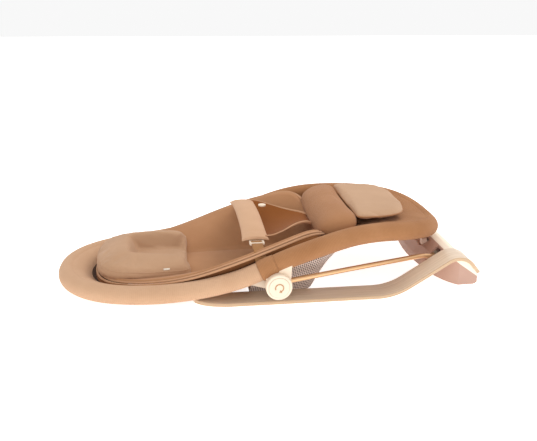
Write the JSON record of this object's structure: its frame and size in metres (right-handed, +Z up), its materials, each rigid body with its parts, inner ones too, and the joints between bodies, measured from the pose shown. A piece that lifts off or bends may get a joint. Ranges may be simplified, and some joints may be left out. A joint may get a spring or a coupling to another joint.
{
  "type": "bouncer seat",
  "caption": "Folding baby bouncer stored flat: bentwood runners, sprung wire frame, padded reclining seat with pillow, leg flap and lap harness.",
  "frame": {"origin": "centre of the folded bouncer's bounding box, on the floor", "axes": "+X to the foot end, +Y across to the right-hand side, +Z up; folded flat at rest"},
  "size_m": [0.932, 0.461, 0.171],
  "materials": {
    "wood": "satin clear-lacquered bentwood",
    "rubber": "matt",
    "cream_plastic": "fine matt moulding",
    "mauve_plastic": "fine matt moulding",
    "steel": "plain",
    "nylon": "matt",
    "gold_wire": "satin champagne lacquer",
    "aluminium": "plain",
    "tan_fabric": "ribbed knit over foam",
    "light_fabric": "fine ribbed knit over foam",
    "liner_fabric": "padded woven fabric",
    "mesh_fabric": "open mesh",
    "pillow_fabric": "soft padded jersey",
    "buckle_plastic": "satin",
    "webbing": "woven webbing",
    "brown_fabric": "smooth lining fabric"
  },
  "bodies": {
    "base": {"runner_left": "wood", "runner_right": "wood", "foot_pads": "rubber", "crosspiece_upper": "cream_plastic", "crosspiece_lower": "cream_plastic", "crosspiece_screws": "steel", "fold_bush_left": "nylon", "fold_bush_right": "nylon"},
    "wire_frame": {"spring_wire": "gold_wire", "hub_core_left": "nylon", "hub_core_right": "nylon"},
    "leg_frame": {"hub_housing_left": "cream_plastic", "hub_housing_right": "cream_plastic", "pivot_pin_left": "steel", "pivot_pin_right": "steel", "hub_cap_left": "cream_plastic", "hub_cap_right": "cream_plastic", "button_spring_left": "steel", "button_spring_right": "steel", "leg_tube": "aluminium", "leg_sleeve": "tan_fabric", "seat_liner": "liner_fabric", "mesh_sling": "mesh_fabric", "knee_block": "liner_fabric", "leg_flap": "pillow_fabric", "foot_panel": "tan_fabric", "lap_belt": "light_fabric", "strap_adjuster_left": "buckle_plastic", "strap_adjuster_right": "buckle_plastic", "waist_webbing_left": "webbing", "waist_webbing_right": "webbing", "crotch_panel": "brown_fabric", "belt_snap": "cream_plastic"},
    "back_frame": {"back_bracket_left": "nylon", "back_bracket_right": "nylon", "back_tube": "aluminium", "back_sleeve": "light_fabric", "back_liner": "liner_fabric", "pillow": "pillow_fabric"},
    "fold_button_left": {"fold_button_left": "mauve_plastic"},
    "fold_button_right": {"fold_button_right": "mauve_plastic"},
    "recline_button_left": {"recline_button_left": "cream_plastic"},
    "recline_button_right": {"recline_button_right": "cream_plastic"}
  },
  "joints": [
    {"name": "frame_fold", "type": "hinge", "parent": "base", "child": "wire_frame", "pos_m": [0.394, 0, 0.056], "axis": [0, 1, 0], "range_deg": [0, 28]},
    {"name": "seat_level", "type": "hinge", "parent": "wire_frame", "child": "leg_frame", "pos_m": [0.01, 0, 0.053], "axis": [0, 1, 0], "range_deg": [-14, 0]},
    {"name": "back_recline", "type": "hinge", "parent": "leg_frame", "child": "back_frame", "pos_m": [0.01, 0, 0.053], "axis": [0, 1, 0], "range_deg": [0, 20]},
    {"name": "fold_button_left_press", "type": "slide", "parent": "base", "child": "fold_button_left", "axis": [1, 0, 0], "range_m": [0, 0.004], "stiffness_N_per_m": 800, "springref_m": -0.001},
    {"name": "fold_button_right_press", "type": "slide", "parent": "base", "child": "fold_button_right", "axis": [1, 0, 0], "range_m": [0, 0.004], "stiffness_N_per_m": 800, "springref_m": -0.001},
    {"name": "recline_button_left_press", "type": "slide", "parent": "leg_frame", "child": "recline_button_left", "axis": [0, 1, 0], "range_m": [0, 0.0035], "stiffness_N_per_m": 800, "springref_m": -0.001, "deforming": ["button_spring_left"]},
    {"name": "recline_button_right_press", "type": "slide", "parent": "leg_frame", "child": "recline_button_right", "axis": [0, -1, 0], "range_m": [0, 0.0035], "stiffness_N_per_m": 800, "springref_m": -0.001, "deforming": ["button_spring_right"]}
  ],
  "couplings": [
    {"joint": "seat_level", "follows": "frame_fold", "ratio": -0.5}
  ]
}
